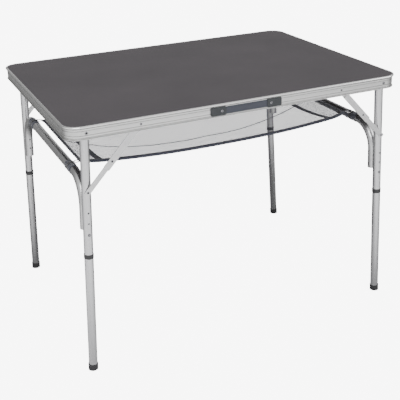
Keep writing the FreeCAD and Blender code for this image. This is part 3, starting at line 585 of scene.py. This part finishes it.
def net_patch(side):
    """One half of the net, from the middle to one end, with its cloth coordinates in metres."""
    columns, rows = 72, 64
    work = bmesh.new()
    layer = work.loops.layers.uv.new("cloth")
    grid = []
    for i in range(columns + 1):
        x = side * shelf_reach * i / columns
        width = shelf_width(x)
        row = []
        for j in range(rows + 1):
            y = width * (2.0 * j / rows - 1.0)
            row.append(work.verts.new((x, y, shelf_height(x, y))))
        grid.append(row)
    for i in range(columns):
        for j in range(rows):
            ring = [grid[i][j], grid[i + 1][j], grid[i + 1][j + 1], grid[i][j + 1]]
            face = work.faces.new(ring if side > 0 else ring[::-1])
            face.smooth = True
            for loop in face.loops:
                loop[layer].uv = (loop.vert.co.x, loop.vert.co.y * cloth_slack)
    mesh = bpy.data.meshes.new("net")
    work.to_mesh(mesh)
    work.free()
    return mesh


# Netting: two sets of slanting yarns that cross in small diamonds. Mask is 1 on a yarn.
netting, given, made = new_group(
    "netting",
    [("Pitch", "NodeSocketFloat", 0.0028), ("Yarn", "NodeSocketFloat", 0.3)],
    ["Mask", "Relief"],
)
cloth = put(netting, "ShaderNodeUVMap", uv_map="cloth").outputs[0]
split = put(netting, "ShaderNodeSeparateXYZ", vector=cloth)
across, along = split.outputs[0], split.outputs[1]
yarns = []
for mixed in (maths(netting, "ADD", across, along), maths(netting, "SUBTRACT", across, along)):
    turns = maths(netting, "MULTIPLY", maths(netting, "DIVIDE", mixed, given["Pitch"]), math.pi)
    wave = maths(netting, "ABSOLUTE", maths(netting, "SINE", turns))
    yarns.append(maths(netting, "SUBTRACT", 1.0, wave))
thread = maths(netting, "MAXIMUM", *yarns)
low = maths(netting, "SUBTRACT", 1.0, given["Yarn"])
netting.links.new(maths(netting, "GREATER_THAN", thread, low), made["Mask"])
netting.links.new(thread, made["Relief"])

# how heavy the yarns are, and how much heavier past the end tape
yarn_cover, yarn_more = 0.5, 0.16
yarn_relief = 0.0003

net_cloth, tree, skin = new_material("net cloth")
weave = place_group(tree, netting, pitch=0.0028)
spot = put(tree, "ShaderNodeTexCoord").outputs["Object"]
from_middle = maths(tree, "ABSOLUTE", put(tree, "ShaderNodeSeparateXYZ", vector=spot).outputs[0])
past_tape = maths(tree, "GREATER_THAN", from_middle, end_tape)
cover = maths(tree, "ADD", maths(tree, "MULTIPLY", past_tape, yarn_more), yarn_cover)
tree.links.new(cover, weave.inputs["Yarn"])
tree.links.new(weave.outputs["Mask"], skin.inputs["Alpha"])
drift = put(tree, "ShaderNodeTexNoise", vector=spot, scale=9.0, detail=4.0)
tint(tree, skin, drift.outputs[0], srgb(124, 124, 142), srgb(146, 146, 161))
skin.inputs["Roughness"].default_value = 0.75
emboss(tree, skin, weave.outputs["Relief"], yarn_relief)


tape_sides = 12


def tape(path, ups, width, thick, closed=False, start_along=None):
    """A flat tape along path: its faces point along ups, and its edges are rounded.

    With start_along its first end is cut square to that way, to meet a tape from the other half.
    """
    profile = []
    for turn in range(tape_sides):
        angle = math.tau * turn / tape_sides
        wide, high = math.cos(angle), math.sin(angle)
        profile.append((math.copysign(abs(wide) ** 0.5, wide) * width / 2,
                        math.copysign(abs(high) ** 0.6, high) * thick / 2))
    work = bmesh.new()
    layer = work.loops.layers.uv.new("cloth")
    rings, count, run = [], len(path), [0.0]
    for k in range(1, count):
        run.append(run[-1] + (path[k] - path[k - 1]).length)
    for k, (point, up) in enumerate(zip(path, ups)):
        before = path[k - 1] if k or closed else point
        after = path[(k + 1) % count] if k < count - 1 or closed else point
        ahead = start_along if start_along and k == 0 else (after - before).normalized()
        side = ahead.cross(up).normalized()
        top = side.cross(ahead)
        rings.append([work.verts.new(point + side * a + top * b) for a, b in profile])
    spans = count if closed else count - 1
    for k in range(spans):
        one, two = rings[k], rings[(k + 1) % count]
        for patch in band(one, two):
            face = work.faces.new(patch)
            face.smooth = True
            for loop in face.loops:
                mine = one if loop.vert in one else two
                far = run[k] if mine is one else run[(k + 1) % count]
                loop[layer].uv = (profile[mine.index(loop.vert)][0], far)
    if not closed:
        work.faces.new(rings[0][::-1])
        work.faces.new(rings[-1])
    bmesh.ops.recalc_face_normals(work, faces=work.faces)
    return work


def to_object(name, works, material):
    """One object from several pieces of mesh."""
    whole = bmesh.new()
    whole.loops.layers.uv.new("cloth")
    for work in works:
        part = bpy.data.meshes.new("part")
        work.to_mesh(part)
        work.free()
        whole.from_mesh(part)
        bpy.data.meshes.remove(part)
    mesh = bpy.data.meshes.new(name)
    whole.to_mesh(mesh)
    whole.free()
    return stand(name, mesh, material)


# Webbing: a plain weave of fine ribs, in the tapes' own coordinates. Relief runs from -1, in the
# gaps, to 1 on the raised yarns.
webbing, given, made = new_group("webbing", [("Rib", "NodeSocketFloat", 0.0009)], ["Relief"])
cloth = put(webbing, "ShaderNodeUVMap", uv_map="cloth").outputs[0]
split = put(webbing, "ShaderNodeSeparateXYZ", vector=cloth)
waves = []
for axis in split.outputs[:2]:
    turns = maths(webbing, "MULTIPLY", maths(webbing, "DIVIDE", axis, given["Rib"]), math.pi)
    waves.append(maths(webbing, "SINE", turns))
webbing.links.new(maths(webbing, "MULTIPLY", *waves), made["Relief"])


def woven(name, colour, dark, rib):
    """Woven tape: the gaps between the raised yarns are painted darker, as painted shade between
    them.
    """
    material, tree, skin = new_material(name)
    group = place_group(tree, webbing, rib=rib)
    share = put(tree, "ShaderNodeMapRange", value=group.outputs["Relief"],
                from_min=-1.0, from_max=1.0)
    tint(tree, skin, share.outputs[0], dark, colour)
    skin.inputs["Roughness"].default_value = 0.8
    skin.inputs["Sheen Weight"].default_value = 0.3
    emboss(tree, skin, group.outputs["Relief"], yarn_relief, 0.8)
    return material


navy_tape = woven("navy tape", srgb(62, 65, 82), srgb(36, 38, 52), 0.0009)
black_tape = woven("black tape", srgb(40, 40, 44), srgb(22, 22, 26), 0.0008)
grey_seam = woven("seam tape", srgb(150, 150, 160), srgb(120, 120, 132), 0.0007)


def shelf_line(start, end, steps, lift):
    """Points on the net between two places, raised by lift."""
    points = []
    for k in range(steps + 1):
        x = start[0] + (end[0] - start[0]) * k / steps
        y = start[1] + (end[1] - start[1]) * k / steps
        limit = shelf_width(x)
        y = max(-limit, min(limit, y))
        points.append(Vector((x, y, shelf_height(x, y) + lift)))
    return points


# Stitches: short rounded threads laid end to end in rows, each along its point's aim.
stitch_tree, given, stitch_sizes = new_planting(
    "stitches",
    [
        ("Thread Radius", "NodeSocketFloat", 0.0004),
        ("Slimness", "NodeSocketFloat", 4.0),
        ("Thread", "NodeSocketMaterial", None),
    ],
)
bead = put(stitch_tree, "GeometryNodeMeshUVSphere", segments=5, rings=4,
           radius=given["Thread Radius"])
thread = put(stitch_tree, "GeometryNodeTransform", geometry=bead.outputs[0],
             scale=triple(stitch_tree, given["Slimness"], 1.0, 1.0))
sewn = planted(stitch_tree, given["Geometry"], thread.outputs[0], "X", given["Thread"])
stitch_tree.links.new(sewn, stitch_tree.nodes.new("NodeGroupOutput").inputs[0])
thread_grey = finish("thread", srgb(104, 107, 122), srgb(84, 87, 100), 0.7, relief=0.00002)
stitch_pitch, stitch_radius = 0.0048, 0.0004


def stitches(name, rows):
    """Rows of stitches along lists of points, as one mesh object."""
    points, aims = [], []
    for row in rows:
        for start, stop in zip(row, row[1:]):
            count = max(1, round((stop - start).length / stitch_pitch))
            for k in range(count):
                points.append(start.lerp(stop, (k + 0.5) / count))
                aims.append((stop - start).normalized())
    return grow(name, aimed_points(name, points, aims), stitch_tree, stitch_sizes,
                {"Thread Radius": stitch_radius, "Thread": thread_grey})


def hang(piece):
    """A piece of the shelf, with its place baked into its mesh."""
    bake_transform(piece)


edge_wide, edge_thick = 0.012, 0.008
tape_wide, tape_thick = 0.018, 0.0022
rim_tape_wide, rim_tape_inset = 0.010, 0.003  # the narrow tape along the net's short edge
seam_wide, seam_thick = 0.005, 0.0014
stitch_inset = 0.002  # the edge's stitches from its middle
up = Vector((0, 0, 1))
shelf_with = {}
for end, side in (("left", -1), ("right", 1)):
    net = stand("looks_shelf_net_" + end, net_patch(side), net_cloth)
    outwards = Vector((side, 0, 0))
    if side < 0:
        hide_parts("mesh_shelf")
    edges, rows = [], []
    for face in (-1, 1):
        long_edge = face * shelf_half
        line = shelf_line((0.0, long_edge), (side * shelf_reach, long_edge), 48, 0.0)
        edges.append(tape(line, [up] * len(line), edge_wide, edge_thick, start_along=outwards))
        rows.append([point + Vector((0, -face * stitch_inset, edge_thick * 0.49))
                     for point in line])
    for x, wide in ((end_tape, tape_wide), (shelf_reach - rim_tape_inset, rim_tape_wide)):
        limit = shelf_width(x)
        line = shelf_line((side * x, -limit), (side * x, limit), 40, 0.0006)
        edges.append(tape(line, [up] * len(line), wide, tape_thick))
        for offset in (-0.3 * wide, 0.3 * wide):
            rows.append([point + Vector((offset, 0, tape_thick * 0.48)) for point in line])
    bound = to_object("looks_shelf_tape_" + end, edges, navy_tape)
    line = shelf_line((0.0, 0.0), (side * (shelf_reach - 0.004), 0.0), 48, 0.0004)
    middle_tape = tape(line, [up] * len(line), seam_wide, seam_thick, start_along=outwards)
    seam = to_object("looks_shelf_seam_" + end, [middle_tape], grey_seam)
    sewing = stitches("looks_shelf_stitches_" + end, rows)
    for piece, finish_slot in ((net, "mesh_fabric"), (bound, "webbing"), (seam, "webbing"),
                               (sewing, "webbing")):
        hang(piece)
    shelf_with[end] = [net, bound, seam, sewing]

# ---------------------------------------------------------------- the shelf's ties
# At each corner of the net a short black webbing tie is sewn through a steel ring, and a second one
# goes from the ring round the sleeve on the brace.

ring_steel = finish("ring steel", srgb(235, 235, 235), srgb(205, 205, 207), 0.16,
                    fine=2500.0, broad=300.0, relief=0.00001, spread=0.05, metallic=1.0)
brace_x, brace_z = 0.45255, 0.56298  # the middle of the brace's cross tube
ring_place, ring_size, ring_wire = (0.437, 0.199, 0.5755), 0.008, 0.0012
ring_steps, wire_steps = 28, 10
loop_size, loop_thick, loop_wide = 0.0140, 0.0008, 0.012
tie_from = (0.412, 0.176)  # where each tie is sewn to the net
tie_wide, tie_thick = 0.011, 0.0024
strap_wide, strap_thick = 0.009, 0.0014  # the short strap from the loop to the ring


def hoop(middle, normal, radius, wire):
    """A ring of round wire."""
    work = bmesh.new()
    work.loops.layers.uv.new("cloth")
    across = normal.orthogonal().normalized()
    beyond = normal.cross(across)
    rings = []
    for k in range(ring_steps):
        turn = math.tau * k / ring_steps
        out = across * math.cos(turn) + beyond * math.sin(turn)
        ring = []
        for n in range(wire_steps):
            round_wire = math.tau * n / wire_steps
            ring.append(work.verts.new(middle + out * (radius + wire * math.cos(round_wire))
                                       + normal * wire * math.sin(round_wire)))
        rings.append(ring)
    for k in range(ring_steps):
        for patch in band(rings[k], rings[(k + 1) % ring_steps]):
            work.faces.new(patch).smooth = True
    bmesh.ops.recalc_face_normals(work, faces=work.faces)
    return work


for end, side in (("left", -1), ("right", 1)):
    ties, hoops = [], []
    for face in (-1, 1):
        middle = Vector((side * ring_place[0], face * ring_place[1], ring_place[2]))
        tilt = Vector((side * 0.15, 0.0, 1.0)).normalized()
        hoops.append(hoop(middle, tilt, ring_size, ring_wire))
        corner = Vector((side * tie_from[0], face * tie_from[1], shelf_height(*tie_from) + 0.002))
        near_ring = middle + Vector((-side * 0.0062, -face * 0.0052, 0.0))
        line = [corner.lerp(near_ring, k / 6) for k in range(7)]
        ties.append(tape(line, [up] * 7, tie_wide, tie_thick))
        line, ups = [], []
        on_brace = Vector((side * brace_x, face * (ring_place[1] + 0.004), brace_z))
        for k in range(ring_steps):
            turn = math.tau * k / ring_steps
            out = Vector((side * math.cos(turn), 0.0, math.sin(turn)))
            line.append(on_brace + out * loop_size)
            ups.append(out)
        ties.append(tape(line, ups, loop_wide, loop_thick, closed=True))
        top = Vector((side * (brace_x - 0.003), face * (ring_place[1] + 0.003),
                      brace_z + loop_size))
        line = [top, top + Vector((-side * 0.004, 0.0, 0.0012)),
                middle + Vector((side * 0.007, 0.0, 0.0016))]
        ties.append(tape(line, [up] * 3, strap_wide, strap_thick))
    tie = to_object("looks_shelf_ties_" + end, ties, black_tape)
    link = to_object("looks_shelf_rings_" + end, hoops, ring_steel)
    for piece, finish_slot in ((tie, "webbing"), (link, "rivet_steel")):
        hang(piece)
    net, *sewn_on = shelf_with[end]

# ---------------------------------------------------------------- the shelf's sleeves
# A navy webbing sleeve is wrapped round the brace near each bend, hemmed at both ends and sewn down
# along an overlap on its outer side. It keeps the tie from sliding along the tube.

sleeve_start, sleeve_stop = 0.18, 0.23
sleeve_inner, sleeve_outer = 0.0131, 0.0136
hem_wide, hem_thick = 0.005, 0.0004
flap_turn, flap_thick = math.radians(50), 0.0005  # half the overlap, and what it adds
wrinkle = 0.00012


def sleeve(side, face):
    """One wrapped sleeve: a closed shell whose wall is thicker at its hems and its overlap."""
    work = bmesh.new()
    layer = work.loops.layers.uv.new("cloth")
    steps, slices = 48, 30
    skins = []
    for inside in (False, True):
        rings = []
        for k in range(slices + 1):
            y = sleeve_start + (sleeve_stop - sleeve_start) * k / slices
            from_end = min(y - sleeve_start, sleeve_stop - y)
            ring = []
            for n in range(steps):
                turn = math.tau * n / steps
                radius = sleeve_inner
                if not inside:
                    radius = sleeve_outer + (hem_thick if from_end < hem_wide else 0.0)
                    past_flap = turn if turn < math.pi else turn - math.tau
                    if abs(past_flap) < flap_turn and 0.0 < from_end:
                        radius += flap_thick
                    rumple = noise.noise(Vector((turn * 2, y * 260, side + face * 3.0)))
                    radius -= wrinkle * (1 + rumple)
                ring.append(work.verts.new((side * (brace_x + radius * math.cos(turn)), face * y,
                                            brace_z + radius * math.sin(turn))))
            rings.append(ring)
        skins.append(rings)
        for k in range(slices):
            for n, patch in enumerate(band(rings[k], rings[k + 1])):
                wall = work.faces.new(patch)
                wall.smooth = True
                turns_and_slices = ((n, k), (n + 1, k), (n + 1, k + 1), (n, k + 1))
                for loop, (a, b) in zip(wall.loops, turns_and_slices):
                    loop[layer].uv = (sleeve_outer * math.tau * a / steps,
                                      (sleeve_stop - sleeve_start) * b / slices)
    for k in (0, slices):
        for patch in band(skins[0][k], skins[1][k]):
            work.faces.new(patch)
    bmesh.ops.recalc_face_normals(work, faces=work.faces)
    return work


def round_brace(side, face, y, rim, turn):
    """A place round the brace's cross tube."""
    return Vector((side * (brace_x + rim * math.cos(turn)), face * y,
                   brace_z + rim * math.sin(turn)))


for end, side in (("left", -1), ("right", 1)):
    pair = [sleeve(side, -1), sleeve(side, 1)]
    wrapped = to_object("looks_shelf_sleeves_" + end, pair, navy_tape)
    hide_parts("shelf_sleeves_" + end)
    rows = []
    for face in (-1, 1):
        for y in (sleeve_start + hem_wide * 0.7, sleeve_stop - hem_wide * 0.7):
            rim = sleeve_outer + hem_thick
            rows.append([round_brace(side, face, y, rim, math.tau * k / 18) for k in range(19)])
        rim = sleeve_outer + hem_thick
        rows.append([round_brace(side, face, y, rim, flap_turn * 0.85)
                     for y in (sleeve_start + hem_wide, sleeve_stop - hem_wide)])
    sewing = stitches("looks_sleeve_stitches_" + end, rows)
    for piece in (wrapped, sewing):
        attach(piece, end + "_frame")

# ---------------------------------------------------------------- the handle
# A flat strap of grey plastic is held under two moulded end caps, each riveted to the front rail.
# The strap lies against the rail, and bows outwards between the caps when it is lifted.

strap_plastic = finish("strap plastic", srgb(56, 59, 69), srgb(46, 49, 58), 0.5,
                       stretch=(0.2, 1.0, 1.0), fine=1200.0, broad=60.0, relief=0.00005)
cap_plastic = finish("cap plastic", srgb(47, 50, 53), srgb(38, 41, 44), 0.5,
                     fine=1500.0, broad=60.0, relief=0.00008)
paint(strap_plastic, "handle_strap")
paint(cap_plastic, "handle_cap_left", "handle_cap_right")
rivets("handle_rivets", "tabletop", rivet_silver, 0.0035, 0.0008, 0.001)

# ---------------------------------------------------------------- the studio
# A floor that is plain white to the eye, and carries painted shade for the light that comes off it:
# a painted shadow under the table and painted shade behind it, which shapes the tubes. Three soft
# lamps, and the camera at the front left.

work = bmesh.new()
bmesh.ops.create_grid(work, x_segments=2, y_segments=2, size=30.0)
mesh = bpy.data.meshes.new("floor")
work.to_mesh(mesh)
work.free()
pale, tree, matt = new_material("pale floor")
floor = stand("floor", mesh, pale)
matt.inputs["Roughness"].default_value = 0.9
spot = put(tree, "ShaderNodeTexCoord").outputs["Object"]
x, y = put(tree, "ShaderNodeSeparateXYZ", vector=spot).outputs[:2]
reach = maths(tree, "MAXIMUM", maths(tree, "MULTIPLY", maths(tree, "ABSOLUTE", x), 0.8),
              maths(tree, "ABSOLUTE", y))
# painted shadow: darker under the table, out to its feet
shade = put(tree, "ShaderNodeMapRange", value=reach, from_min=0.35, from_max=0.8,
            to_min=0.5, to_max=1.05)
# painted shade: darker behind the table than on the camera's side
squares = maths(tree, "ADD", maths(tree, "POWER", x, 2.0), maths(tree, "POWER", y, 2.0))
spread = maths(tree, "MAXIMUM", 0.2, maths(tree, "SQRT", squares))
toward_front = maths(tree, "ADD", maths(tree, "MULTIPLY", x, -0.42),
                     maths(tree, "MULTIPLY", y, -0.9))
facing = maths(tree, "DIVIDE", toward_front, spread)
behind_painted_shade = put(tree, "ShaderNodeMapRange", value=facing, from_min=-0.25, from_max=0.75,
             to_min=0.26, to_max=1.1, interpolation_type="SMOOTHSTEP")
tone = maths(tree, "MULTIPLY", shade.outputs[0], behind_painted_shade.outputs[0])
tree.links.new(tone, matt.inputs["Base Color"])

# The white that the camera sees is far brighter than the net, and would bleach it through its open
# mesh, so it is dimmed there.
white_strength, white_behind_net = 8.0, 2.3


def white_level(tree):
    """The white's strength: full in the open, and low behind a see-through piece."""
    through = put(tree, "ShaderNodeLightPath").outputs["Transparent Depth"]
    return put(tree, "ShaderNodeMapRange", value=through, from_min=0.0, from_max=1.0,
               to_min=white_strength, to_max=white_behind_net).outputs[0]


glow = put(tree, "ShaderNodeEmission", strength=white_level(tree))
seen = put(tree, "ShaderNodeLightPath").outputs["Is Camera Ray"]
mixed = put(tree, "ShaderNodeMixShader")
tree.links.new(seen, mixed.inputs[0])
tree.links.new(matt.outputs[0], mixed.inputs[1])
tree.links.new(glow.outputs[0], mixed.inputs[2])
tree.links.new(mixed.outputs[0], tree.nodes["Material Output"].inputs[0])

world = bpy.data.worlds.new("studio")
world.use_nodes = True
bpy.context.scene.world = world
tree = world.node_tree
sky = tree.nodes["Background"]
heading = put(tree, "ShaderNodeTexCoord").outputs["Generated"]
toward = put(tree, "ShaderNodeSeparateXYZ", vector=heading)
behind = put(tree, "ShaderNodeMapRange", value=toward.outputs[1], from_min=-0.1, from_max=0.75,
             to_min=1.15, to_max=0.35, interpolation_type="SMOOTHSTEP")
tree.links.new(behind.outputs[0], sky.inputs["Color"])
white = put(tree, "ShaderNodeBackground", strength=white_level(tree))
mixed = put(tree, "ShaderNodeMixShader")
tree.links.new(put(tree, "ShaderNodeLightPath").outputs["Is Camera Ray"], mixed.inputs[0])
tree.links.new(sky.outputs[0], mixed.inputs[1])
tree.links.new(white.outputs[0], mixed.inputs[2])
tree.links.new(mixed.outputs[0], tree.nodes["World Output"].inputs[0])


def softbox(name, place, target, size, power):
    """A wide soft lamp at a place, turned to its target."""
    light = bpy.data.lights.new(name, "AREA")
    light.shape, light.size, light.size_y, light.energy = "RECTANGLE", size[0], size[1], power
    lamp = stand(name, light)
    lamp.location = place
    lamp.rotation_mode = "QUATERNION"
    lamp.rotation_quaternion = (Vector(target) - Vector(place)).to_track_quat("-Z", "Y")


softbox("key", (-1.5, -2.5, 2.6), (0, 0, 0.5), (2.0, 1.6), 60.0)
softbox("fill", (2.6, -1.8, 1.8), (0, 0, 0.4), (1.4, 1.8), 25.0)
softbox("sheen", (0.9, 3.4, 1.05), (0.0, 0.3, 0.72), (4.0, 0.7), 5.0)

camera = stand("camera", bpy.data.cameras.new("camera"))
bpy.context.scene.camera = camera
azimuth, elevation, roll = (math.radians(angle) for angle in (-23.91, 24.21, -1.74))
back = Vector((math.sin(azimuth) * math.cos(elevation), -math.cos(azimuth) * math.cos(elevation),
               math.sin(elevation)))
right = (-back).cross(Vector((0, 0, 1))).normalized()
over = right.cross(-back)
tilted = right * math.cos(roll) + over * math.sin(roll)
upright = over * math.cos(roll) - right * math.sin(roll)
placing = Matrix((tilted, upright, back)).transposed().to_4x4()
placing.translation = Vector((-0.9427, -2.1566, 1.3463))
camera.matrix_world = placing
camera.data.sensor_width = 36.0
camera.data.lens = 71.11
